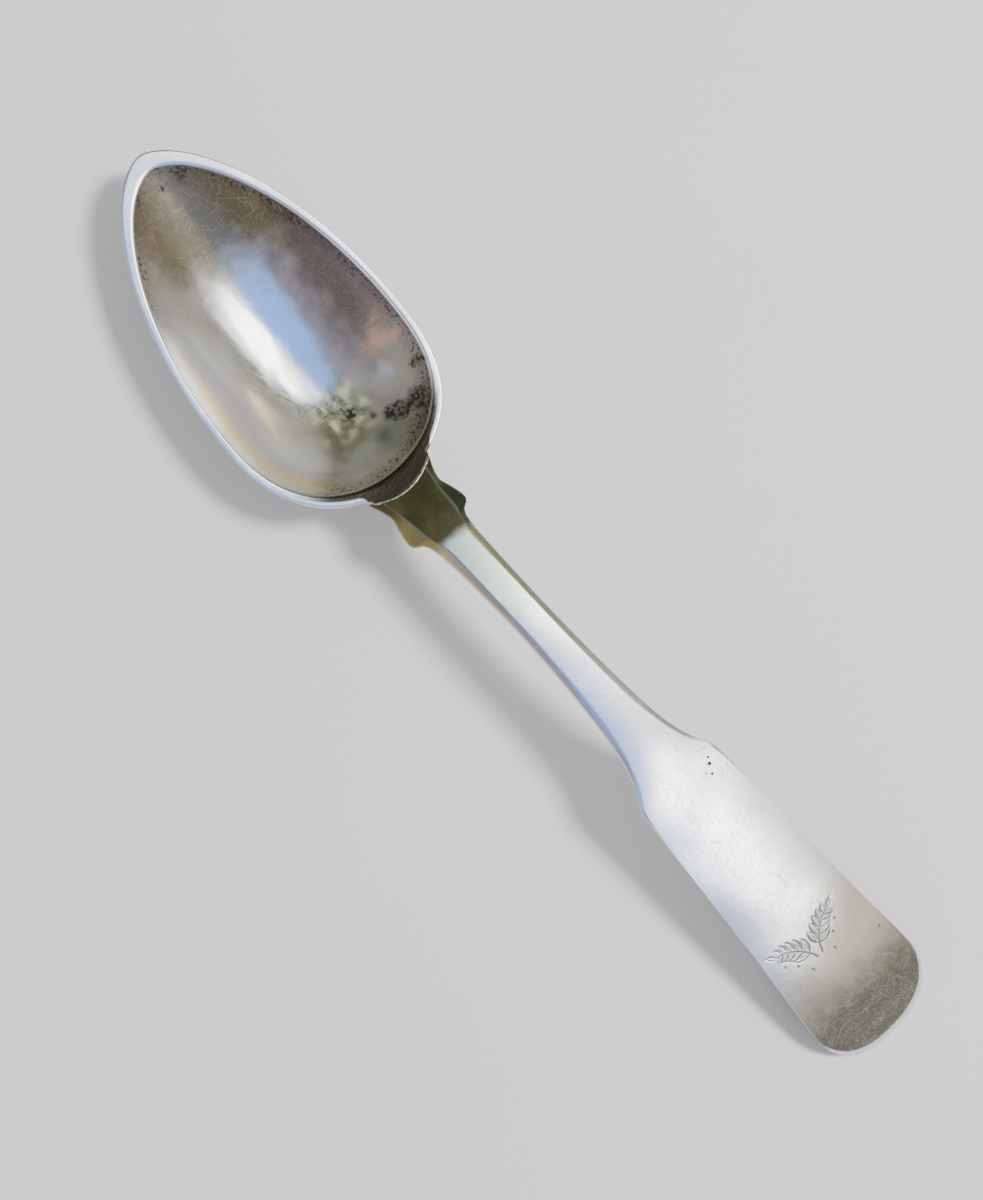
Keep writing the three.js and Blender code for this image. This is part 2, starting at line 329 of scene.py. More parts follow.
def bowl_depth(station, across, tip, end, half):
    """0 on the bowl's edge and 1 at its deepest point."""
    part = np.clip((station - tip) / (end - tip), 0, 1)
    deepest = (DEEPEST - tip) / (end - tip)
    tip_power = DISH_HEEL_POWER * deepest / (1 - deepest)
    lengthwise = (part / deepest) ** tip_power * ((1 - part) / (1 - deepest)) ** DISH_HEEL_POWER
    crosswise = np.maximum(0, 1 - (across / np.maximum(half, TINY)) ** 2) ** DISH_SIDE_POWER
    return lengthwise * crosswise


def hollow_half(station):
    return egg_half(station, WORN_TIP, INNER_HEEL, BOWL_HALF - RIM)


def outer_half(station):
    return egg_half(station, 0, HEEL, BOWL_HALF)


def hollow_height(station, across):
    depth = bowl_depth(station, across, WORN_TIP, WIDEST + INNER_HEEL, hollow_half(station))
    return rim_height(station) - (rim_height(DEEPEST) - WALL) * depth


def back_height(station, across):
    depth = bowl_depth(station, across, 0, SEAM, np.maximum(outer_half(station), NECK_HALF + 0.1))
    most = rim_height(DEEPEST) - edge_height(0) + FOOT_SINK
    return np.maximum(0, rim_height(station) - edge_height(station) - most * depth)


dish_depth = rim_height(DEEPEST) - hollow_height(DEEPEST, 0)
print("the hollow is", round(float(dish_depth), 2), "mm deep")

# %% Outlines of the bowl in plan
AROUND = 320
HALVINGS = 40       # each halves what isn't known yet about where an outline lies
angles = np.arange(AROUND) * math.tau / AROUND
along = np.cos(angles) * np.where(np.cos(angles) < 0, WIDEST, SEAM - WIDEST)
across = np.sin(angles) * BOWL_HALF


def outline(inside):
    """How far along each direction from the bowl's middle a shape reaches."""
    low, high = np.zeros(AROUND), np.full(AROUND, 1.5)
    for _ in range(HALVINGS):
        middle = (low + high) / 2
        is_in = inside(WIDEST + along * middle, across * middle)
        low, high = np.where(is_in, middle, low), np.where(is_in, high, middle)
    return low


def inside_bowl(x, y):
    """Inside the egg, or inside the neck that joins it to the seam."""
    in_egg = np.abs(y) < outer_half(x)
    in_neck = (x < seam_station(y) - SEAM_HALF) & ((x > WIDEST) | in_egg)
    return np.where(np.abs(y) > NECK_HALF, in_egg, in_neck)


inner_reach = outline(lambda x, y: np.abs(y) < hollow_half(x))
outer_reach = outline(inside_bowl)
rim_width = outer_reach - inner_reach
print("the rim is", round(rim_width[AROUND // 4] * BOWL_HALF, 2), "mm wide at the side")

# %% Rows of the bowl's skin
distance = np.hypot(along, across)
RIM_ZONE = 0.4      # millimetres of hollow and back beside the rim that are rubbed down with it
RUBBED_PASSES = 3
HOLLOW_ROWS, RIM_ROWS, BACK_ROWS = 64, 11, 56
FIRST_ROW = 0.012   # the first row lies this far from the middle, as a share of the whole
CROWDING = 1.5      # how much closer the rows lie near the rim
ZONE_SHARES = (0.8, 0.6, 0.4, 0.2)      # rows of the rubbed zone in the hollow
QUARTERS = (0.25, 0.5, 0.75, 1)         # rows of the rim's upright side, and of the zone on the back


def bowl_row(reach, height):
    """One ring of points: a reach in every direction and a height for each."""
    x, y = WIDEST + along * reach, across * reach
    return np.stack([x, y, height(x, y)], axis=-1)


def spread(count):
    """Shares of the way from the middle to the rim, closer together near the rim."""
    return 1 - (1 - np.linspace(FIRST_ROW, 1, count)) ** CROWDING


def side_row(share):
    """A ring on the upright side of the rim, a share of the way down."""
    return bowl_row(outer_reach, lambda x, y: rim_height(x) - share * edge_height(x))


zone = RIM_ZONE / distance
hollow_rows = [bowl_row((inner_reach - zone) * share, hollow_height) for share in spread(HOLLOW_ROWS)]
back_rows = [bowl_row((outer_reach - zone) * share, back_height) for share in spread(BACK_ROWS)[::-1]]
rim_rows = [hollow_rows[-1]]
rim_rows += [bowl_row(inner_reach - share * zone, hollow_height) for share in ZONE_SHARES]
rim_rows += [bowl_row(inner_reach + share * rim_width, lambda x, y: rim_height(x))
             for share in np.linspace(0, 1, RIM_ROWS)]
rim_rows += [side_row(share) for share in QUARTERS]
rim_rows += [bowl_row(outer_reach - share * zone, back_height) for share in QUARTERS]
rim_rows.append(back_rows[0])
sharp = np.array(rim_rows)
rubbed = eased(sharp.copy(), RUBBED_PASSES)
print("rows in the hollow, round the rim and on the back:", len(hollow_rows), len(sharp), len(back_rows))

# %% The bowl's skin
MID_RIM = 1 + len(ZONE_SHARES) + RIM_ROWS // 2      # the row along the middle of the rim's flat top
at_joint = (np.abs(across * outer_reach) < NECK_HALF) & (along > 0)
rubbed[MID_RIM:, at_joint] = sharp[MID_RIM:, at_joint]      # the joint was never rubbed down
rows = np.array([*hollow_rows[:-1], *rubbed, *back_rows[1:]])
points = place(rows[..., 0], rows[..., 1], rows[..., 2] + hand_work(rows[..., 0], rows[..., 1]))
numbers = np.arange(points.shape[0] * AROUND).reshape(-1, AROUND)
faces = ring_faces(numbers.tolist()) + [tuple(numbers[0]), tuple(numbers[-1])]
bowl = new_piece("bowl_shell", points.reshape(-1, 3), faces)

# %% How far each point of the bowl is from its edges
from_middle = np.hypot(rows[..., 0] - WIDEST, rows[..., 1])
from_rim = inner_reach * distance - from_middle
from_edge = outer_reach * distance - from_middle
first_rim_row = len(hollow_rows) + len(ZONE_SHARES)
first_side_row = first_rim_row + RIM_ROWS
from_rim[first_rim_row:] = -np.abs(from_rim[first_rim_row:])      # outside the hollow
from_edge[first_side_row:] = -1 - np.abs(from_edge[first_side_row:])      # on the back
for name, value in (("from_rim", from_rim), ("from_edge", from_edge)):
    bowl.data.attributes.new(name, "FLOAT", "POINT").data.foreach_set("value", value.ravel())
print("the middle of the hollow is", round(float(from_rim.max()), 1), "mm in from the rim")

# %% [markdown]
# ## The handle's outline as a grid
# The handle was forged from a bar: a narrow arched stem, two pointed fins at the neck, square
# shoulders and a broad, turned-down end. A loft of straight sections would leave the bevel along
# the rounded end badly shaped, so the grid lines bend: they follow the round seam at the neck and
# the rounded outline at the other end. Each grid line is a nominal station and a share across, from -1
# to 1, and lines lie closest where the engraver worked.


# %% Grid lines of the handle
def joined(*spans):
    """Rising values from spans of (start, end, how many), each end left to the next span."""
    runs = [np.linspace(low, high, count, endpoint=False) for low, high, count in spans]
    return np.concatenate(runs)


HANDLE_START = SEAM + SEAM_HALF
CURL_LENGTH, BEND_FROM = 2.5, 121.0     # the lines are bent before and after these, in millimetres
BEND_POWER, EDGE_CROWDING = 1.5, 2.3
SPRAY_FROM, SPRAY_TO = 124.6, 133.6
NECK_EDGE, LAST_BIT = HANDLE_START + 0.3, LENGTH - 1.2      # crowded lines at both ends
STEM_FROM, STEM_TO, SHOULDER_TO = 62, 96, 104
lines = joined(
    (HANDLE_START, NECK_EDGE, 5), (NECK_EDGE, STEM_FROM, 44), (STEM_FROM, STEM_TO, 36),
    (STEM_TO, SHOULDER_TO, 20), (SHOULDER_TO, SPRAY_FROM, 20), (SPRAY_FROM, SPRAY_TO, 106),
    (SPRAY_TO, LAST_BIT, 20), (LAST_BIT, LENGTH, 7),
)
lines = np.append(lines, LENGTH)[:, None]
FINE_FROM, FINE_TO = -0.94, 0.58        # shares across between which the spray lies


def outer_shares(inner, count):
    """Shares from inner to the edge, ever closer together, as the rounded end needs."""
    return 1 - (1 - inner) * (1 - np.arange(1, count + 1) / count) ** EDGE_CROWDING


shares = np.concatenate([
    -outer_shares(-FINE_FROM, 9)[::-1],
    np.linspace(FINE_FROM, FINE_TO, 144),
    outer_shares(FINE_TO, 20),
])[None, :]


def handle_grid(half_at, end_length, end_half):
    """Station and distance across for every crossing of the grid, for one outline."""
    end_shape = (1 - np.minimum(1, np.abs(shares)) ** END_POWER) ** (1 / END_POWER)
    bend = np.clip((lines - BEND_FROM) / (LENGTH - BEND_FROM), 0, 1) ** BEND_POWER
    reach = END_START + end_length * end_shape
    station = lines + bend * (reach - LENGTH)
    half = np.where(station < END_START, half_at(np.minimum(station, END_START)), end_half)
    across = shares * half
    curl = np.maximum(0, 1 - (lines - HANDLE_START) / CURL_LENGTH)
    return station - curl * (SEAM - seam_station(across)), across


print("grid of", lines.size, "by", shares.size, "lines")

# %% [markdown]
# ## The engraving
# The handle carries a hand-engraved ornament: here two mirrored sprays of laurel, cut with a
# graver. A graver leaves a groove that is widest in the middle of its stroke and runs out to
# nothing at both ends. Drawing it in the material alone would leave the silver flat, so the
# grooves are cut into the grid itself. The depth at a point depends on its distance from the
# nearest stroke, and it is also kept as an attribute, because old grooves hold dark residue.

# %% Strokes of one spray
SPRAY_AT, SPRAY_ACROSS = 129.8, -1.2
MIRRORED = (1, -1)
STEM_CUT, LEAF_CUT, SHADE_CUT, VEIN_CUT = 0.13, 0.11, 0.20, 0.07       # widths in millimetres
STEM_STEPS, STROKE_STEPS = 13, 9
LEAF_PAIRS, LEAF_SIZE, LEAF_SHRINK, LEAF_BULGE = 5, 2.5, 0.22, 0.19
LEAF_ALONG, LEAF_ASIDE = 0.72, 0.69     # how a leaf leans out from its stem
END_LEAF = np.array([-0.9, 1.2])
BERRIES = 3


def arc_stroke(start, end, sag, width):
    """A curved stroke as points and widths: it swells in the middle and runs out at its ends."""
    start, end = np.array(start, float), np.array(end, float)
    share = np.linspace(0, 1, STROKE_STEPS)[:, None]
    normal = np.array([-(end - start)[1], (end - start)[0]])
    points = start + (end - start) * share + normal * sag * 4 * share * (1 - share)
    return points, width * np.sin(math.pi * (0.08 + 0.84 * share[:, 0])) ** 0.7


def stem_point(share):
    """A point of the spray's stem, as (along the spoon, across it), rising outwards."""
    return np.array([2.6 - 5.2 * share**0.8 + 1.3 * share**3, 0.45 + 4.1 * share**1.15])


strokes = []
stem = [stem_point(share) for share in np.linspace(0, 1, STEM_STEPS)]
for first, second in zip(stem[:-1], stem[1:]):
    strokes.append((np.array([first, second]), np.array([STEM_CUT, STEM_CUT])))
for number in range(1, LEAF_PAIRS + 1):
    grown = number / (LEAF_PAIRS + 1)
    root = stem_point(grown)
    heading = stem_point(grown + 0.02) - root
    heading = heading / np.linalg.norm(heading)
    aside = np.array([-heading[1], heading[0]])
    for side in (1, -1):
        size = LEAF_SIZE - LEAF_SHRINK * number
        leaf = size * (LEAF_ALONG * heading + side * LEAF_ASIDE * aside)
        strokes.append(arc_stroke(root, root + leaf, -side * LEAF_BULGE, LEAF_CUT))
        strokes.append(arc_stroke(root, root + leaf, side * LEAF_BULGE, SHADE_CUT))
        strokes.append(arc_stroke(root + 0.2 * leaf, root + 0.7 * leaf, 0.0, VEIN_CUT))
outer = stem_point(1)
strokes.append(arc_stroke(outer, outer + END_LEAF, -0.15, LEAF_CUT))
strokes.append(arc_stroke(outer, outer + END_LEAF, 0.15, SHADE_CUT))
for number in range(BERRIES):
    berry = stem_point(0.2 + 0.3 * number) + np.array([2.1 - 0.3 * number, 0.9])
    strokes.append((np.array([berry, berry + [0.2, 0.05]]), np.array([0.22, 0.1])))
print(len(strokes), "strokes on each side")

# %% How deep the graver went
GROOVE_DEPTH = 0.06
GROOVE_SHOULDER = 0.06              # the groove's soft edge, beyond its width
FULL_CUT, LEAST_CUT = 0.12, 0.04    # a cut is deepest where its half width is the difference
SPRAY_REACH = (5.5, 6.5)            # no stroke is farther from the middle, along and across


def groove(station, across):
    """0 on plain silver and 1 at the bottom of the deepest groove."""
    depth = np.zeros(np.broadcast(station, across).shape)
    near = (np.abs(station - SPRAY_AT) < SPRAY_REACH[0]) & (np.abs(across - SPRAY_ACROSS) < SPRAY_REACH[1])
    spots = np.stack([station[near] - SPRAY_AT, across[near] - SPRAY_ACROSS], axis=-1)
    cut = np.zeros(len(spots))
    for mirror in MIRRORED:
        for stroke, widths in strokes:
            stroke = stroke * (1, mirror)
            for a, b, width, next_width in zip(stroke[:-1], stroke[1:], widths[:-1], widths[1:]):
                run = b - a
                share = np.clip(((spots - a) @ run) / (run @ run), 0, 1)
                gap = np.linalg.norm(spots - a - share[:, None] * run, axis=1)
                half = (width + share * (next_width - width)) / 2
                deepest = np.minimum(1, (half + LEAST_CUT) / FULL_CUT)
                cut = np.maximum(cut, (1 - gap / (half + GROOVE_SHOULDER)) * deepest)
    depth[near] = np.clip(cut, 0, 1)
    return depth


print("the grooves are up to", GROOVE_DEPTH, "mm deep")

# %% [markdown]
# ## The handle's skin
# The face and the back are two grids with the same outline, joined by a band that holds the
# narrow bevel and the short upright side. The back is rounded like the inside of a barrel stave
# on the stem, and flatter on the broad end. A hand-finished face isn't dead flat either: a crown
# of a few tenths of a millimetre keeps the reflections alive.

# %% Heights of the handle
CROWN = rail([(SEAM, 0.02), (80, 0.03), (104, 0.18), (128, 0.34), (LENGTH, 0.22)])
BACK_POWER = rail([(SEAM, 2.4), (80, 2.6), (100, 4.0), (LENGTH, 7.0)])
SIDE_SHARE = 0.35       # the upright side's share of the edge's thickness under the bevel
END_BEVEL, SIDE_BEVEL, END_DROP = 1.3, 0.3, 0.7

face_x, face_y = handle_grid(face_half, END_LENGTH - END_BEVEL, END_HALF - SIDE_BEVEL)
edge_x, edge_y = handle_grid(side_half, END_LENGTH, END_HALF)
cuts = groove(face_x, face_y)
nominal_face = np.clip(np.where(lines < SEAM + CURL_LENGTH, lines, face_x), SEAM, LENGTH)
nominal_edge = np.clip(np.where(lines < SEAM + CURL_LENGTH, lines, edge_x), SEAM, LENGTH)
face_z = (handle_top(nominal_face) + CROWN(nominal_face) * (1 - shares**2)
          + hand_work(face_x, face_y) - GROOVE_DEPTH * cuts)
top = handle_top(nominal_edge)
past_end = np.clip((edge_x - END_START) / END_LENGTH, 0, 1)
drop = bevel_drop(nominal_edge) + (END_DROP - float(bevel_drop(LENGTH))) * past_end**3
thick = handle_thickness(nominal_edge)
side = drop + (thick - drop) * SIDE_SHARE
roundness = np.minimum(1, (np.abs(shares) ** END_POWER + past_end**END_POWER) ** (1 / END_POWER))
roundness = np.where(edge_x < END_START, np.abs(shares), roundness)
power = BACK_POWER(nominal_edge)
back_z = top - side - (thick - side) * (1 - roundness**power) ** (1 / power) + hand_work(edge_x, edge_y)
bevel_z = top - drop + hand_work(edge_x, edge_y)
print("the handle is", round(float(thick[0].max()), 2), "mm thick at the neck")

# %% Join the two grids with a band
BEVEL_SHARES, SIDE_SHARES = (0, 0.3, 0.6, 0.85, 1), (0.15, 0.5, 0.85, 1)      # rows of the band
grid_shape = face_x.shape
last_row, last_share = grid_shape[0] - 1, grid_shape[1] - 1
loop = [(row, last_share) for row in range(last_row)]
loop += [(last_row, column) for column in range(last_share, 0, -1)]
loop += [(row, 0) for row in range(last_row, 0, -1)]
loop += [(0, column) for column in range(last_share)]
rows_at, shares_at = np.array(loop).T
face_points = place(face_x, face_y, face_z)
back_points = place(edge_x, edge_y, back_z)
bevel_points = place(edge_x, edge_y, bevel_z)
start, corner, last = (grid[rows_at, shares_at] for grid in (face_points, bevel_points, back_points))
band = [start + (corner - start) * share for share in BEVEL_SHARES]
band += [corner + (last - corner) * share for share in SIDE_SHARES]
band = eased(np.array(band), 1)[1:-1]
points = np.concatenate([face_points.reshape(-1, 3), back_points.reshape(-1, 3), band.reshape(-1, 3)])
face_numbers = np.arange(face_x.size).reshape(grid_shape)
back_numbers = face_numbers + face_x.size
band_numbers = np.arange(band.shape[0] * len(loop)).reshape(band.shape[0], -1) + 2 * face_x.size
rings = [face_numbers[rows_at, shares_at], *band_numbers, back_numbers[rows_at, shares_at]]
faces = ring_faces([ring.tolist() for ring in rings])
for numbers in (face_numbers, back_numbers):
    corners = (numbers[:-1, :-1], numbers[1:, :-1], numbers[1:, 1:], numbers[:-1, 1:])
    faces += np.stack(corners, axis=-1).reshape(-1, 4).tolist()
handle = new_piece("handle_blade", points, faces)
off_face = np.zeros(len(points) - cuts.size)
on_face = np.concatenate([np.ones(cuts.size), off_face])
on_band = np.concatenate([np.zeros(2 * cuts.size), np.ones(band_numbers.size)])
in_groove = np.concatenate([cuts.ravel(), off_face])
for name, value in (("engraving", in_groove), ("face", on_face), ("bevelled", on_band)):
    handle.data.attributes.new(name, "FLOAT", "POINT").data.foreach_set("value", value)

# %% [markdown]
# ## The heel drop
# Under the bowl, where the handle is soldered on, a tongue of silver strengthens the joint. It is a
# small tapered pad that follows the bowl's back. It is lofted from short sections that lie on the
# back and grow from its rounded tip to the seam.

# %% The heel drop's skin
DROP_TIP, DROP_ROUND, DROP_HALF = 41.0, 4.5, 3.9
DROP_THICK, DROP_TIP_THICK = 1.1, 0.5
DROP_SINK, DROP_CROWN = 0.45, 0.3       # how far its hidden upper side lies in the bowl's back
DROP_SECTIONS, DROP_AROUND = 40, 48
DROP_FIRST, DROP_CROWDING = 0.02, 1.3   # the first section, and how they crowd towards the tip
DROP_WAIST, DROP_SQUARE = 0.16, 0.6
drop_part = np.linspace(0, 1, DROP_SECTIONS) ** DROP_CROWDING
drop_part = (DROP_FIRST + (1 - DROP_FIRST) * drop_part)[:, None]
turns = np.linspace(0, math.tau, DROP_AROUND, endpoint=False)[None, :]
round_part = np.minimum(1, drop_part * (SEAM - DROP_TIP) / DROP_ROUND)
half = DROP_HALF * np.sqrt(1 - (1 - round_part) ** 2) * (1 - DROP_WAIST * drop_part**4)
across_drop = half * np.cos(turns)
station_drop = DROP_TIP + drop_part * (seam_station(across_drop) + SEAM_HALF - DROP_TIP)
swell = DROP_TIP_THICK + (DROP_THICK - DROP_TIP_THICK) * np.sin(math.pi * np.minimum(drop_part, 0.9))
lower = np.maximum(0, -np.sin(turns)) ** DROP_SQUARE
upper = DROP_CROWN * np.maximum(0, np.sin(turns))
height_drop = back_height(station_drop, across_drop) - DROP_SINK + upper - swell * lower
points = place(station_drop, across_drop, height_drop)
numbers = np.arange(points.shape[0] * points.shape[1]).reshape(points.shape[:2])
faces = ring_faces(numbers.tolist()) + [tuple(numbers[0]), tuple(numbers[-1])]
heel = new_piece("heel_tongue", points.reshape(-1, 3), faces)

# %% [markdown]
# ## Node trees as sums
# Shader and geometry trees are easier to read as sums than as wires. The class below wraps one
# socket, so that `1 - mask` adds the Math node which works it out, and the other class adds any
# other node from its kind, its settings and the values or wires of its sockets.


# %% Two small classes for node trees
class Signal:
    """One output socket. Sums and products of signals add Math nodes to its graph."""

    def __init__(self, graph, socket):
        self.graph = graph
        self.socket = socket

    def math(self, operation, *others):
        return self.graph.math(operation, self, *others)

    def __add__(self, other):
        return self.math("ADD", other)

    __radd__ = __add__

    def __sub__(self, other):
        return self.math("SUBTRACT", other)

    def __rsub__(self, other):
        return self.graph.math("SUBTRACT", other, self)

    def __mul__(self, other):
        return self.math("MULTIPLY", other)

    __rmul__ = __mul__

    def __truediv__(self, other):
        return self.math("DIVIDE", other)

    def __rtruediv__(self, other):
        return self.graph.math("DIVIDE", other, self)


class Graph:
    """A node tree that is written as expressions."""

    def __init__(self, tree):
        self.tree = tree
        self.tree.nodes.clear()

    def node(self, kind, settings=None, values=None, out=0):
        """One node: its settings are made first, then its sockets get values or wires."""
        node = self.tree.nodes.new(kind)
        for name, value in (settings or {}).items():
            setattr(node, name, value)
        for name, value in (values or {}).items():
            if isinstance(value, Signal):
                self.tree.links.new(value.socket, node.inputs[name])
            else:
                node.inputs[name].default_value = value
        return Signal(self, node.outputs[out]) if len(node.outputs) else node

    def math(self, operation, *terms):
        return self.node("ShaderNodeMath", {"operation": operation}, dict(enumerate(terms)))

    def vector(self, operation, first, second, out=0):
        return self.node("ShaderNodeVectorMath", {"operation": operation}, {0: first, 1: second}, out)

    def ramp(self, value, low, high):
        """0 below low, 1 above high and smooth between."""
        return self.node("ShaderNodeMapRange", {"interpolation_type": "SMOOTHSTEP"},
                         {"Value": value, "From Min": low, "From Max": high})

    def mix(self, share, first, second):
        """A colour between two colours."""
        sockets = {0: share, 6: self.colour(first), 7: self.colour(second)}
        return self.node("ShaderNodeMix", {"data_type": "RGBA"}, sockets, out=2)

    def colour(self, value):
        return value if isinstance(value, Signal) else (*value, 1.0)

    def noise(self, spot, scale, detail, distortion=0.0):
        values = {"Vector": spot, "Scale": scale, "Detail": detail, "Distortion": distortion}
        return self.node("ShaderNodeTexNoise", {}, values)

    def parts(self, spot):
        """The three numbers of a vector."""
        x = self.node("ShaderNodeSeparateXYZ", {}, {"Vector": spot})
        return [Signal(self, socket) for socket in x.socket.node.outputs]

    def millimetres(self):
        """Object coordinates in millimetres."""
        metres = self.node("ShaderNodeTexCoord", out=3)
        return self.vector("MULTIPLY", metres, (1 / MM, 1 / MM, 1 / MM))


OPERATORS = ("__add__", "__sub__", "__mul__", "__truediv__")
print("signals can be joined with", [name.strip("_") for name in OPERATORS if hasattr(Signal, name)])

# %% [markdown]
# ## The solder seam
# The joint shows as a fine bright line where solder filled the butt between bowl and handle. A
# bead that follows a path is a job for Geometry Nodes: a curve is swept with a small round
# profile. The tree's inputs are the seam's sizes, so the same tree would suit another spoon. The
# path's points follow the round seam, and the bead thins towards both ends by a formula on the
# curve's own length.


# %% Build the bead's node tree
SEAM_SPAN, SEAM_BEAD, SEAM_PROUD = 4.5, 0.17, 0.05
PATH_POINTS, BEAD_SIDES, SEAM_STEPS = 60, 16, 25
RUN_OUT, RUN_OUT_TO = 0.06, 0.25        # the bead thins over this share at each end, to this share

bead_tree = bpy.data.node_groups.new("bead_on_a_path", "GeometryNodeTree")
INPUTS = (("Path", "Geometry"), ("Bead radius", "Float"), ("Sides", "Int"), ("Metal", "Material"))
for name, kind in INPUTS:
    bead_tree.interface.new_socket(name, in_out="INPUT", socket_type="NodeSocket" + kind)
bead_tree.interface.new_socket("Bead", in_out="OUTPUT", socket_type="NodeSocketGeometry")
bead_graph = Graph(bead_tree)
path, radius, sides, metal = (bead_graph.node("NodeGroupInput", out=number) for number in range(4))
profile = bead_graph.node("GeometryNodeCurvePrimitiveCircle", {}, {
    "Resolution": sides, "Radius": radius,
})
smooth_path = bead_graph.node("GeometryNodeResampleCurve", {"mode": "COUNT"}, {
    "Curve": path, "Count": PATH_POINTS,
})
share = bead_graph.node("GeometryNodeSplineParameter")
to_end = share.math("PINGPONG", 0.5)
taper = bead_graph.node("ShaderNodeMapRange", {}, {
    "Value": to_end, "From Max": RUN_OUT, "To Min": RUN_OUT_TO,
})
swept = bead_graph.node("GeometryNodeCurveToMesh", {}, {
    "Curve": smooth_path, "Profile Curve": profile, "Scale": taper, "Fill Caps": True,
})
solid = bead_graph.node("GeometryNodeRealizeInstances", {}, {"Geometry": swept})
dressed = bead_graph.node("GeometryNodeSetMaterial", {}, {"Geometry": solid, "Material": metal})
bead_graph.node("NodeGroupOutput", {}, {"Bead": dressed})
print("the bead's tree has", len(bead_tree.nodes), "nodes")

# %% Sweep the seam
seam_curve = bpy.data.curves.new("seam_path", "CURVE")
seam_curve.dimensions = "3D"
seam_across = np.linspace(-SEAM_SPAN, SEAM_SPAN, SEAM_STEPS)
seam_at = seam_station(seam_across)
seam_points = place(seam_at, seam_across, rim_height(seam_at) + SEAM_PROUD - SEAM_BEAD)
seam_line = seam_curve.splines.new("POLY")
seam_line.points.add(len(seam_points) - 1)
seam_line.points.foreach_set("co", np.append(seam_points, np.ones((len(seam_points), 1)), axis=1).ravel())
seam = bpy.data.objects.new("seam_path", seam_curve)
scene.collection.objects.link(seam)
solder_metal = bpy.data.materials.new("old_solder")
growth = seam.modifiers.new("bead", "NODES")
growth.node_group = bead_tree
for name, value in (("Bead radius", SEAM_BEAD * MM), ("Sides", BEAD_SIDES), ("Metal", solder_metal)):
    growth[bead_tree.interface.items_tree[name].identifier] = value
finished = seam.evaluated_get(bpy.context.evaluated_depsgraph_get())
bead_mesh = bpy.data.meshes.new_from_object(finished)
bead_mesh.name = "joint_solder"
bead = bpy.data.objects.new("joint_solder", bead_mesh)
scene.collection.objects.link(bead)
bpy.data.objects.remove(seam)
print("the bead has", len(bead_mesh.polygons), "faces")

# %% [markdown]
# ## Silver
# Old silver is a bright metal under thin films. Where fingers and cloths reach it is nearly white,
# with hair-fine scratches in every direction. Where they don't, silver sulphide builds up, first
# yellow, then brown and purple, and at last black specks. One recipe makes the clean metal and its
# scratches, and each piece then adds its own films. Some of these films are painted reflections, not
# tarnish: the gold glints, the rosy and bluish patches and the green heel of the bowl, the dark bronze
# neck and fins, and the coloured bevels of the handle. The purple of the bowl's far flank is partly
# tarnish and partly painted reflection. A thick film also hides the metal, so Metallic is a little
# lower there. All patterns use Object coordinates, turned into millimetres, so that a scale is easy
# to read: 0.1 makes patches about 10 mm wide.


# %% Scratches
PULLED_OUT, STRAYING = 0.22, 0.15       # how long a hairline is, and how much it wanders
LINE_EDGE = 0.05                        # from no line to a full line, in the noise's own unit
HAIRLINES = ((17, 0.66), (58, 0.67), (96, 0.66), (131, 0.68), (160, 0.67))      # degrees, rarity


def scratches(graph, spot, angle, fineness, rarity):
    """Straight hairlines in one direction: a noise pulled out along it, cut where it is highest."""
    turn = (0, 0, math.radians(angle))
    turned = graph.node("ShaderNodeMapping", {}, {"Vector": spot, "Rotation": turn})
    stretch = (PULLED_OUT, fineness, 1)
    pulled = graph.node("ShaderNodeMapping", {}, {"Vector": turned, "Scale": stretch})
    return graph.ramp(graph.noise(pulled, 1.0, 1.0, STRAYING), rarity, rarity + LINE_EDGE)


def hairlines(graph, spot, fineness):
    """Hairlines in several directions, strongest value first."""
    total, *others = [scratches(graph, spot, angle, fineness, rarity) for angle, rarity in HAIRLINES]
    for layer in others:
        total = total.math("MAXIMUM", layer)
    return total


print("hairlines run in", len(HAIRLINES), "directions")

# %% The clean metal and its films
SILVER = (0.93, 0.905, 0.87)
# Thin films only tint the metal: the yellowed tint is tarnish, and the gold, rosy, bluish, lilac and
# celadon tints are painted reflections.
YELLOWED, PAINTED_GOLD_GLINT, PAINTED_ROSY_REFLECTION = (0.70, 0.60, 0.42), (0.80, 0.66, 0.36), (0.90, 0.50, 0.37)
PAINTED_BLUE_REFLECTION, PAINTED_LILAC_REFLECTION, PAINTED_CELADON_REFLECTION = (0.50, 0.62, 0.85), (0.62, 0.60, 0.68), (0.56, 0.68, 0.47)
# Thicker ones darken it. The moss, brass and greenish tones are painted reflections. The straw tone is
# tarnish on the handle's end and a painted reflection on the stem's bevels, and the purple is tarnish
# together with the painted dark reflection of the bowl's far flank.
CLOUDED, STRAW_TARNISH_AND_REFLECTION, BROWNED = (0.50, 0.48, 0.41), (0.42, 0.36, 0.22), (0.40, 0.33, 0.27)
PAINTED_MOSS_REFLECTION, PAINTED_BRASS_HIGHLIGHT, PAINTED_GREEN_REFLECTION = (0.26, 0.27, 0.11), (0.27, 0.23, 0.095), (0.20, 0.215, 0.135)
SLATE, PURPLE_TARNISH_AND_REFLECTION, TIP_FILM = (0.10, 0.125, 0.13), (0.10, 0.07, 0.085), (0.105, 0.083, 0.040)
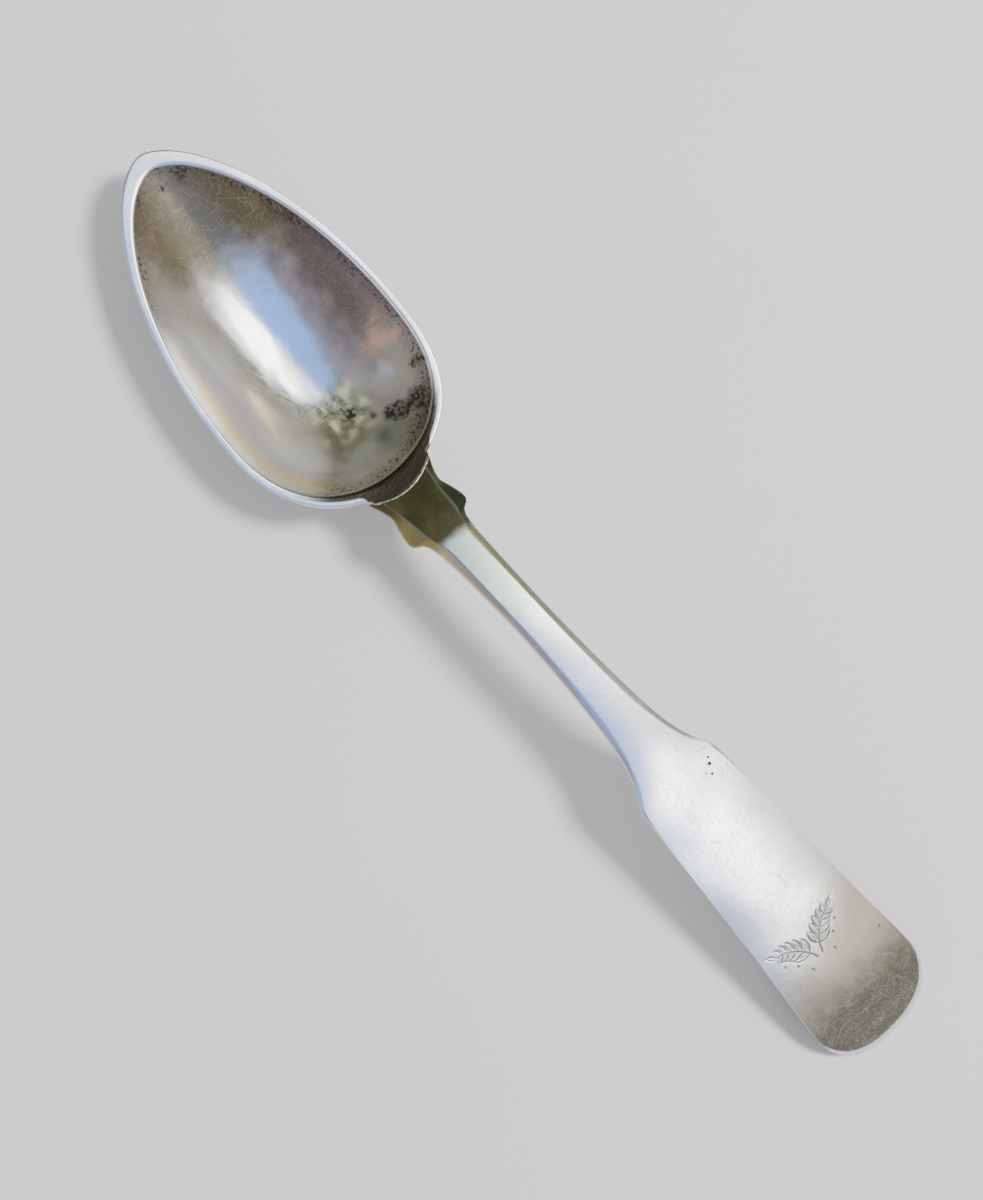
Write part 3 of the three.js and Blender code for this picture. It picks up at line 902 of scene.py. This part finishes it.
# The thickest are nearly black. The dark brown, bronze and dark green ones are painted dark reflections on
# the neck and its fins.
DARKENED, PAINTED_DARK_BROWN_REFLECTION, OLIVE = (0.08, 0.06, 0.06), (0.076, 0.062, 0.021), (0.070, 0.063, 0.038)
PAINTED_BRONZE_REFLECTION, SOOTY, PAINTED_DARK_GREEN_REFLECTION = (0.046, 0.042, 0.012), (0.044, 0.034, 0.017), (0.025, 0.040, 0.018)
SULPHIDE = (0.025, 0.022, 0.018)
YELLOW_SHARE, YELLOW_EDGE = 0.35, (0.45, 0.75)
GRAIN_SCALE = 2.4
CLOUD_ROUGH, GRAIN_ROUGH, LINE_ROUGH = 0.10, 0.06, 0.05     # what each pattern adds to roughness
BUMP_UNIT = 0.01 * MM


def silver(name, roughness, wear_scale=0.11, fineness=11.0):
    """Starts a silver material: returns its graph, coordinates and the clean metal's looks."""
    material = bpy.data.materials.new(name)
    material.use_nodes = True
    graph = Graph(material.node_tree)
    spot = graph.millimetres()
    cloud = graph.noise(spot, wear_scale, 4.0)
    grain = graph.noise(spot, GRAIN_SCALE, 3.0)
    lines = hairlines(graph, spot, fineness)
    colour = graph.mix(graph.ramp(cloud, *YELLOW_EDGE) * YELLOW_SHARE, SILVER, YELLOWED)
    rough = roughness + CLOUD_ROUGH * (cloud - 0.5) + GRAIN_ROUGH * (grain - 0.5) + LINE_ROUGH * lines
    return material, graph, spot, lines, colour, rough


def layered(graph, colour, films):
    """Films over a colour, first to last, each with its mask and its own colour."""
    for mask, film in films:
        colour = graph.mix(mask, colour, film)
    return colour


def finish(graph, colour, rough, height, metallic=1.0, strength=0.35):
    """Ends a metal material: one shader, with a bump from a height in hundredths of a millimetre."""
    bump = graph.node("ShaderNodeBump", {}, {
        "Height": height, "Distance": BUMP_UNIT, "Strength": strength,
    })
    shader = graph.node("ShaderNodeBsdfPrincipled", {}, {
        "Base Color": colour, "Roughness": rough, "Metallic": metallic, "Normal": bump,
    })
    graph.node("ShaderNodeOutputMaterial", {}, {"Surface": shader})


print("clean silver mirrors", round(sum(SILVER) / 3, 2), "of the light, and black specks", SULPHIDE[0])

# %% Where tarnish and painted reflections lie in the bowl
STAINS = (      # station, across and radius in millimetres
    (40.4, 1.2, 1.9), (44.1, 5.9, 1.8), (45.3, 9.4, 2.2), (42.6, 3.5, 0.5),
    (40.9, 11.6, 1.2), (4.2, 2.7, 1.3), (4.6, -0.2, 0.9),
)
TONED_STAINS_AND_REFLECTIONS = (       # the same, and a colour: the rosy and bluish patches are painted reflections, the slate one is a stain
    (35.2, 9.6, 3.0, PAINTED_ROSY_REFLECTION), (38.6, 8.5, 2.0, PAINTED_BLUE_REFLECTION), (46.5, 3.1, 2.7, SLATE),
)
RAGGEDNESS = 2.2        # of a stain's outline, as a share of its radius
# How far a film's edge wanders, where it begins and where it is full, all in millimetres
FLANK, TIP, LOW_SIDE, HEEL_END = (5, -3.0, 5.2), (7, 52.0, 62.0), (4, 3.0, 10.0), (5, -31.5, -26.0)
FLANK_LEAN = 0.10       # the flank's film is wider towards the handle
# The glint band is where gold glints are painted just inside the near rim.
GLINT_BAND, SHELF = (3, 5.0, 8.0), (4, -32.0, -26.0)
# Where a mask without a ragged edge begins and is full, in millimetres along
FLANK_THINS, GLINT_ALONG = (-45.0, -34.0), (-52.0, -46.0)
# The same, in from the rim of the hollow, from the bowl's edge, and across
INSIDE, NEAR_RIM, GLINT_FROM, GLINT_TO = (0.0, 0.35), (-3.2, -0.2), (0.3, 1.2), (1.8, 3.0)
SHELF_INNER, SHELF_OUTER, SHELF_FROM_EDGE = (-0.2, 0.2), (-3.4, -3.2), (0.45, 0.85)
BESIDE_JOINT = (4.2, 6.2)


def attribute(graph, name):
    return graph.node("ShaderNodeAttribute", {"attribute_name": name}, {}, out=2)


def ragged(graph, distance, uneven, wander, begins, full):
    """A mask that rises along a distance, with an edge that wanders."""
    return graph.ramp(distance + wander * uneven, begins, full)


def blot(graph, level, uneven, station, across, radius, soft=0.65):
    """A ragged round patch, seen from above. It fades over the outer share `soft` of its radius."""
    away = graph.vector("DISTANCE", level, place(station, across, 0.0) / MM, out=1)
    return graph.ramp(0 - away - radius * RAGGEDNESS * uneven, -radius, (soft - 1) * radius)


def bowl_places(graph, x, y, uneven):
    """Masks of the bowl's tarnished places and painted reflections: 0 on clean silver and 1 where the film
    is full.
    """
    from_rim = attribute(graph, "from_rim")
    from_edge = attribute(graph, "from_edge")
    inside = graph.ramp(from_rim, *INSIDE)
    flank = ragged(graph, y + FLANK_LEAN * x, uneven, *FLANK) * inside
    tip = ragged(graph, 0 - x, uneven, *TIP) * inside
    low_side = ragged(graph, 0 - y, uneven, *LOW_SIDE) * inside
    # A band of painted gold glints just inside the near rim.
    painted_glints = ragged(graph, 0 - y, uneven, *GLINT_BAND) * graph.ramp(x, *GLINT_ALONG)
    painted_glints = painted_glints * graph.ramp(from_rim, *GLINT_FROM) * (1 - graph.ramp(from_rim, *GLINT_TO))
    heel_end = ragged(graph, x, uneven, *HEEL_END) * inside
    toward_joint = 1 - graph.ramp(y.math("ABSOLUTE"), *BESIDE_JOINT)
    shelf = graph.ramp(from_edge + 0.9 * toward_joint, *SHELF_FROM_EDGE)
    shelf = shelf * ragged(graph, x, uneven, *SHELF) * (1 - graph.ramp(from_rim, *SHELF_INNER))
    shelf = shelf * graph.ramp(from_rim, *SHELF_OUTER)
    near_rim = graph.ramp(0 - from_rim, *NEAR_RIM) * inside
    return inside, flank, tip, low_side, painted_glints, heel_end, shelf, near_rim


print(len(STAINS), "stains and", len(TONED_STAINS_AND_REFLECTIONS), "toned patches in the bowl")

# %% The bowl's silver
SPECK_SCALE, SPECK_EDGE = 2.4, (0.55, 0.60)
FLECK_SCALE, FLECK_EDGE = 1.7, (0.47, 0.53)
PITTED = (0.45, 1.0)            # from no specks to as many as there can be
BRUSHED = (0.45, 6.0, 1.0)      # the fine grain that runs along the spoon


def bowl_silver():
    material, graph, spot, lines, colour, rough = silver("bowl_silver", 0.095)
    x, y, _ = graph.parts(spot)
    level = graph.vector("MULTIPLY", spot, (1, 1, 0))
    uneven = graph.noise(spot, 0.35, 5.0) - 0.5
    places = bowl_places(graph, x, y, uneven)
    inside, flank, tip, low_side, painted_glints, heel_end, shelf, near_rim = places
    films = [
        # The far flank's purple is tarnish and also the painted dark reflection of that flank.
        (flank * (0.96 - 0.25 * graph.ramp(x, *FLANK_THINS)), PURPLE_TARNISH_AND_REFLECTION),
        (tip * 0.96, TIP_FILM),
        (low_side * 0.60, CLOUDED),
        # Painted gold glints just inside the near rim.
        (painted_glints * 0.80, PAINTED_GOLD_GLINT),
        # A painted green reflection over the heel.
        (heel_end * 0.80, PAINTED_GREEN_REFLECTION),
        (shelf * 0.975, SOOTY),
        (near_rim * flank.math("MAXIMUM", 0.7 * tip) * 0.60, DARKENED),
    ]
    # The rosy and bluish patches are painted reflections; the slate one is a stain.
    for *where, film in TONED_STAINS_AND_REFLECTIONS:
        films.append((blot(graph, level, uneven, *where, soft=1.25) * inside * 0.70, film))
    specks = graph.ramp(graph.noise(spot, SPECK_SCALE, 6.0), *SPECK_EDGE)
    where_pitted = near_rim * (0.10 + 0.75 * flank + 0.8 * tip + heel_end) + 0.8 * shelf
    blooms = specks * graph.ramp(where_pitted + 0.9 * uneven, *PITTED)
    flecks = graph.ramp(graph.noise(spot, FLECK_SCALE, 7.0), *FLECK_EDGE)
    for where in STAINS:
        stain = blot(graph, level, uneven, *where) * inside
        films.append((stain * 0.60, OLIVE))
        blooms = blooms.math("MAXIMUM", stain * flecks)
    films.append((blooms * 0.88, SULPHIDE))
    films.append((lines * (1 - blooms) * (flank + tip) * 0.10, SILVER))
    brushed = graph.noise(graph.vector("MULTIPLY", spot, BRUSHED), 1.0, 3.0)
    rough = rough + 0.08 * near_rim + 0.30 * blooms + 0.12 * tip + 0.08 * flank + 0.06 * shelf
    dull = (0.55 * tip).math("MAXIMUM", 0.35 * flank).math("MAXIMUM", 0.4 * low_side)
    dull = dull.math("MAXIMUM", 0.35 * heel_end)
    height = 1.6 * brushed - 0.5 * lines - 0.8 * blooms
    finish(graph, layered(graph, colour, films), rough, height, metallic=1 - dull)
    return material


bowl.data.materials.append(bowl_silver())
print("the bowl's silver has", len(bowl.data.materials[0].node_tree.nodes), "nodes")

# %% The handle's silver
PITS = (        # station, across and radius in millimetres
    (104.6, 3.6, 0.16), (103.4, 4.2, 0.22), (102.7, 4.6, 0.14), (135.6, 7.1, 0.12), (104.0, 3.1, 0.10),
)
PIT_EDGE = (-1.6, -0.6)         # in a pit's own radius
# How far a film's edge wanders, where it begins and where it is full, all in millimetres
# The neck's film is a painted dark reflection: bronze on the face, brass or dark green on the fins.
NECK, STEM_FACE, END, FAR_END = (2, 12.2, 14.1), (3, -12.0, 8.0), (6, 50.0, 62.0), (5, 60.0, 67.5)
# Where a mask with a soft edge begins and is full, in millimetres along and across
STEM_SIDE, FIN_HIGHLIGHT_RAMP, LILAC_END, OTHER_SIDE = (-10.0, 12.0), (-20.5, -17.5), (58.0, 66.0), (-1.0, 1.0)
DUST, DUST_EDGE = 4.5, (0.40, 0.70)
WARM_EDGE, GROOVE_EDGE = (-0.05, 0.25), (0.2, 0.7)


def handle_silver():
    material, graph, spot, lines, colour, rough = silver("handle_silver", 0.20, fineness=16.0)
    x, y, _ = graph.parts(spot)
    level = graph.vector("MULTIPLY", spot, (1, 1, 0))
    bevelled = attribute(graph, "bevelled")
    face = attribute(graph, "face")
    uneven = graph.noise(spot, 0.4, 5.0) - 0.5
    dusty = graph.ramp(graph.noise(spot, DUST, 6.0), *DUST_EDGE)
    other_side = graph.ramp(y, *OTHER_SIDE)
    neck = ragged(graph, 0 - x, uneven, *NECK)
    end = ragged(graph, x + 0.5 * y, uneven, *END) * (1 - bevelled)
    far_end = ragged(graph, x, uneven, *FAR_END) * (1 - bevelled)
    stem_face = face * (1 - bevelled) * ragged(graph, 0 - x, uneven, *STEM_FACE)
    stem_side = bevelled * graph.ramp(0 - x, *STEM_SIDE)
    # Painted reflections: the fins' brass highlight, darker towards the seam, and dark green on the other
    # side, and the neck face's dark bronze.
    painted_fin_highlight = graph.mix(graph.ramp(x, *FIN_HIGHLIGHT_RAMP), PAINTED_DARK_BROWN_REFLECTION, PAINTED_BRASS_HIGHLIGHT)
    painted_fin_reflection = graph.mix(other_side, painted_fin_highlight, PAINTED_DARK_GREEN_REFLECTION)
    painted_neck_face_reflection = graph.mix(graph.ramp(uneven + 0.10 * dusty, *WARM_EDGE), PAINTED_BRONZE_REFLECTION, PAINTED_DARK_BROWN_REFLECTION)
    dirt = graph.ramp(attribute(graph, "engraving"), *GROOVE_EDGE) * 0.62
    dirt = dirt.math("MAXIMUM", dusty * neck * 0.25)
    for station, across, radius in PITS:
        away = graph.vector("DISTANCE", level, place(station, across, 0.0) / MM, out=1)
        pit = graph.ramp(0 - away, PIT_EDGE[0] * radius, PIT_EDGE[1] * radius)
        dirt = dirt.math("MAXIMUM", pit * face)
    colour = layered(graph, colour, (
        # Painted reflections on the stem's bevels: straw on one side, moss on the other.
        (stem_side * 0.65, graph.mix(other_side, STRAW_TARNISH_AND_REFLECTION, PAINTED_MOSS_REFLECTION)),
        # A painted celadon reflection on the stem's face near the neck.
        (stem_face * 0.90, PAINTED_CELADON_REFLECTION),
        # The neck's painted dark reflection.
        (neck * (0.6 + 0.385 * face.math("MAXIMUM", bevelled)), graph.mix(bevelled, painted_neck_face_reflection, painted_fin_reflection)),
        # Straw tarnish on the broad end.
        (end * 0.70, STRAW_TARNISH_AND_REFLECTION),
        (far_end * (0.75 + 0.15 * dusty), OLIVE),
        # A painted lilac reflection on the bevels of the broad end.
        (bevelled * graph.ramp(x, *LILAC_END) * 0.80, PAINTED_LILAC_REFLECTION),
        (dirt, SULPHIDE),
        (lines * (far_end + 0.3 * end) * 0.25, SILVER),
    ))
    rough = rough + 0.10 * end + 0.06 * far_end + 0.25 * dirt + 0.04 * neck
    height = 0.6 * graph.noise(spot, 1.3, 3.0) - 0.7 * lines * (1 - neck) - 1.5 * dirt
    finish(graph, colour, rough, height, metallic=1 - 0.3 * neck.math("MAXIMUM", far_end))
    return material


handle.data.materials.append(handle_silver())
print("the handle's silver has", len(handle.data.materials[0].node_tree.nodes), "nodes")

# %% The tongue's silver and the solder
SOLDER, OLD_SOLDER = (0.75, 0.66, 0.42), (0.40, 0.33, 0.17)


def tongue_silver():
    material, graph, spot, lines, colour, rough = silver("tongue_silver", 0.18, wear_scale=0.3)
    patchy = graph.ramp(graph.noise(spot, 0.6, 5.0), 0.4, 0.7)
    height = 0.5 * graph.noise(spot, 0.9, 3.0) - 0.5 * lines
    finish(graph, graph.mix(patchy * 0.6, colour, BROWNED), rough, height)
    return material


def solder_silver(material):
    material.use_nodes = True
    graph = Graph(material.node_tree)
    lumps = graph.noise(graph.millimetres(), 2.2, 4.0)
    colour = graph.mix(graph.ramp(lumps, 0.35, 0.7), SOLDER, OLD_SOLDER)
    finish(graph, colour, 0.28 + 0.2 * (lumps - 0.5), 6.0 * lumps)


heel.data.materials.append(tongue_silver())
solder_silver(solder_metal)
print("materials:", [material.name for material in bpy.data.materials if material.users])

# %% [markdown]
# ## Floor and light
# Polished metal has almost no colour of its own: it shows the room. The floor and the shadows get
# plain soft white light, but in the mirror of the silver the world is an open place, with a
# bright sky above, clouds to one side and darker, warmer tones towards the horizon. The Light
# Path node keeps the two apart. One large lamp on the right gives the soft shadow.

# %% Floor
FLOOR_SIZE = 1.6
FLOOR_TONES = (0.70, 0.70, 0.71), (0.74, 0.74, 0.745)
floor_mesh = bpy.data.meshes.new("floor")
corners = [(x * FLOOR_SIZE / 2, y * FLOOR_SIZE / 2, 0) for x, y in ((-1, -1), (1, -1), (1, 1), (-1, 1))]
floor_mesh.from_pydata(corners, [], [(0, 1, 2, 3)])
floor = bpy.data.objects.new("floor", floor_mesh)
scene.collection.objects.link(floor)
floor_paint = bpy.data.materials.new("pale_floor")
floor_paint.use_nodes = True
floor_graph = Graph(floor_paint.node_tree)
floor_tone = floor_graph.mix(floor_graph.noise(floor_graph.millimetres(), 0.02, 2.0), *FLOOR_TONES)
floor_shader = floor_graph.node("ShaderNodeBsdfPrincipled", {}, {
    "Base Color": floor_tone, "Roughness": 0.85,
})
floor_graph.node("ShaderNodeOutputMaterial", {}, {"Surface": floor_shader})
floor_mesh.materials.append(floor_paint)
print("the floor is", FLOOR_SIZE, "m wide")

# %% Lamp
LAMP_AT = Vector((0.16, 0.34, 0.62))
LAMP_SIZE, LAMP_POWER = 0.17, 7.0
lamp_data = bpy.data.lights.new("soft_lamp", "AREA")
lamp_data.shape = "DISK"
lamp_data.size = LAMP_SIZE
lamp_data.energy = LAMP_POWER
lamp_data.color = (1.0, 0.98, 0.95)
lamp = bpy.data.objects.new("soft_lamp", lamp_data)
lamp.location = LAMP_AT
lamp.rotation_euler = LAMP_AT.to_track_quat("Z", "Y").to_euler()
lamp.visible_glossy = False
scene.collection.objects.link(lamp)
print("the lamp stands", round(LAMP_AT.length, 2), "m away")

# %% [markdown]
# ## What the silver mirrors
# A direction in the sky is written as how far it leans from straight up, east and north: 0 is
# overhead and 1 is the horizon. In these two numbers every cloud is an oval, and the ground is
# all that lies outside the opening overhead. Each side of the ground has its own tones: a field
# and a thicket behind the handle's end and the bowl's tip, pale cloth and meadow at the sides.

# %% Colours and places in the sky
SKY, CLOUD, SUNLIT = (0.22, 0.42, 1.0), (1.0, 0.985, 0.95), (3.6, 2.7, 1.4)
TAN, DARK_OLIVE, PALE = (0.50, 0.43, 0.31), (0.05, 0.05, 0.03), (1.5, 1.5, 1.7)
THICKET, LEAVES = (0.13, 0.14, 0.09), (0.85, 0.95, 0.65)
MEADOW, LAVENDER, CREAM = (0.36, 0.37, 0.30), (0.30, 0.28, 0.40), (0.82, 0.80, 0.64)
# Ovals: the middle, east and north, and half the width and height
OPENING, BIG_CLOUD = (0.06, 0.05, 0.33, 0.38), (-0.02, 0.22, 0.19, 0.12)
SMALL_CLOUDS = ((0.305, 0.085, 0.028, 0.05), (0.358, 0.085, 0.024, 0.05))
# What each adds to the sky's brightness of 1
OPEN_GLOW, HAZE_GLOW, CLOUD_GLOW, SMALL_GLOW = 0.75, 1.1, 4.5, 12.0
STUDIO, STUDIO_STRENGTH = (0.93, 0.95, 1.0, 1.0), 0.8
world = bpy.data.worlds.new("soft_studio")
world.use_nodes = True
scene.world = world
sky = Graph(world.node_tree)
direction = sky.node("ShaderNodeTexCoord", out=0)
east, north, upward = sky.parts(direction)
lean_x = east / (1 + upward.math("MAXIMUM", -0.9))
lean_y = north / (1 + upward.math("MAXIMUM", -0.9))
torn = sky.noise(direction, 8.0, 6.0) - 0.5
lumpy = sky.noise(direction, 2.2, 4.0)


def oval(middle_x, middle_y, half_x, half_y):
    """0 in the middle of an oval in the sky and 1 on its outline."""
    return ((lean_x - middle_x) / half_x).math("POWER", 2) + ((lean_y - middle_y) / half_y).math("POWER", 2)


opening = 1 - sky.ramp(oval(*OPENING) + 1.1 * torn, 0.75, 1.2)
big_cloud = 1 - sky.ramp(oval(*BIG_CLOUD) + 5 * (lumpy - 0.5) + 1.5 * torn, 0.7, 1.3)
nearest = oval(*SMALL_CLOUDS[0]).math("MINIMUM", oval(*SMALL_CLOUDS[1]))
small_clouds = 1 - sky.ramp(nearest, 0.6, 1.4)
haze = 0.8 * sky.ramp(lean_y, 0.0, 0.11)
cloudy = big_cloud.math("MAXIMUM", small_clouds).math("MAXIMUM", haze)
overhead = sky.mix(cloudy, SKY, CLOUD)
print("the sky has", 1 + len(SMALL_CLOUDS), "clouds")

# %% The ground around, and the studio's own light
away = (lean_x * lean_x + lean_y * lean_y).math("SQRT")
share_x = lean_x / away
share_y = lean_y / away
middling = sky.ramp(away, 0.45, 0.70)
handle_end = sky.mix(sky.ramp(lean_x, 0.46, 0.60), TAN, DARK_OLIVE)
handle_end = sky.mix(sky.ramp(lean_x, 0.70, 0.80), handle_end, PALE)
bowl_end = sky.mix(sky.ramp(torn, 0.00, 0.10) * (1 - middling), THICKET, LEAVES)
ends = sky.mix(sky.ramp(share_x, -0.3, 0.5), bowl_end, handle_end)
near_side = sky.mix(middling, LAVENDER, CREAM)
sides = sky.mix(sky.ramp(share_y, -0.2, 0.3), near_side, MEADOW)
ground = sky.mix(sky.ramp(share_y.math("ABSOLUTE"), 0.45, 0.8), ends, sides)
gold = sky.ramp(lumpy + 0.4 * torn, 0.58, 0.70)
gold = gold * sky.ramp(share_y, 0.5, 0.8) * sky.ramp(away, 0.55, 0.75)
ground = sky.mix(gold, ground, SUNLIT)
near_haze = haze * (1 - sky.ramp(lean_x, 0.0, 0.25))
glow = OPEN_GLOW + HAZE_GLOW * near_haze + CLOUD_GLOW * big_cloud + SMALL_GLOW * small_clouds
mirrored = sky.node("ShaderNodeBackground", {}, {
    "Color": sky.mix(opening, ground, overhead), "Strength": 1.0 + opening * glow,
})
plain = sky.node("ShaderNodeBackground", {}, {"Color": STUDIO, "Strength": STUDIO_STRENGTH})
is_mirror = sky.node("ShaderNodeLightPath", out=3)
choice = sky.node("ShaderNodeMixShader", {}, {0: is_mirror, 1: plain, 2: mirrored})
sky.node("ShaderNodeOutputWorld", {}, {"Surface": choice})
print("the world has", len(world.node_tree.nodes), "nodes")

# %% [markdown]
# ## Hand the pieces over
# Each visible piece rides on the spoon's one body and stands for its CAD node, which is hidden.

# %% Bind the pieces to the frame
HAND_OVER = (
    (bowl, "bowl", "bowl_silver"), (handle, "handle", "handle_silver"),
    (heel, "heel_drop", "drop_silver"), (bead, "solder_seam", "solder"),
)
for piece, node, finish_slot in HAND_OVER:
    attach(piece, "root")
    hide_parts(node)
print("pieces handed over:", [piece.name for piece, node, finish_slot in HAND_OVER])
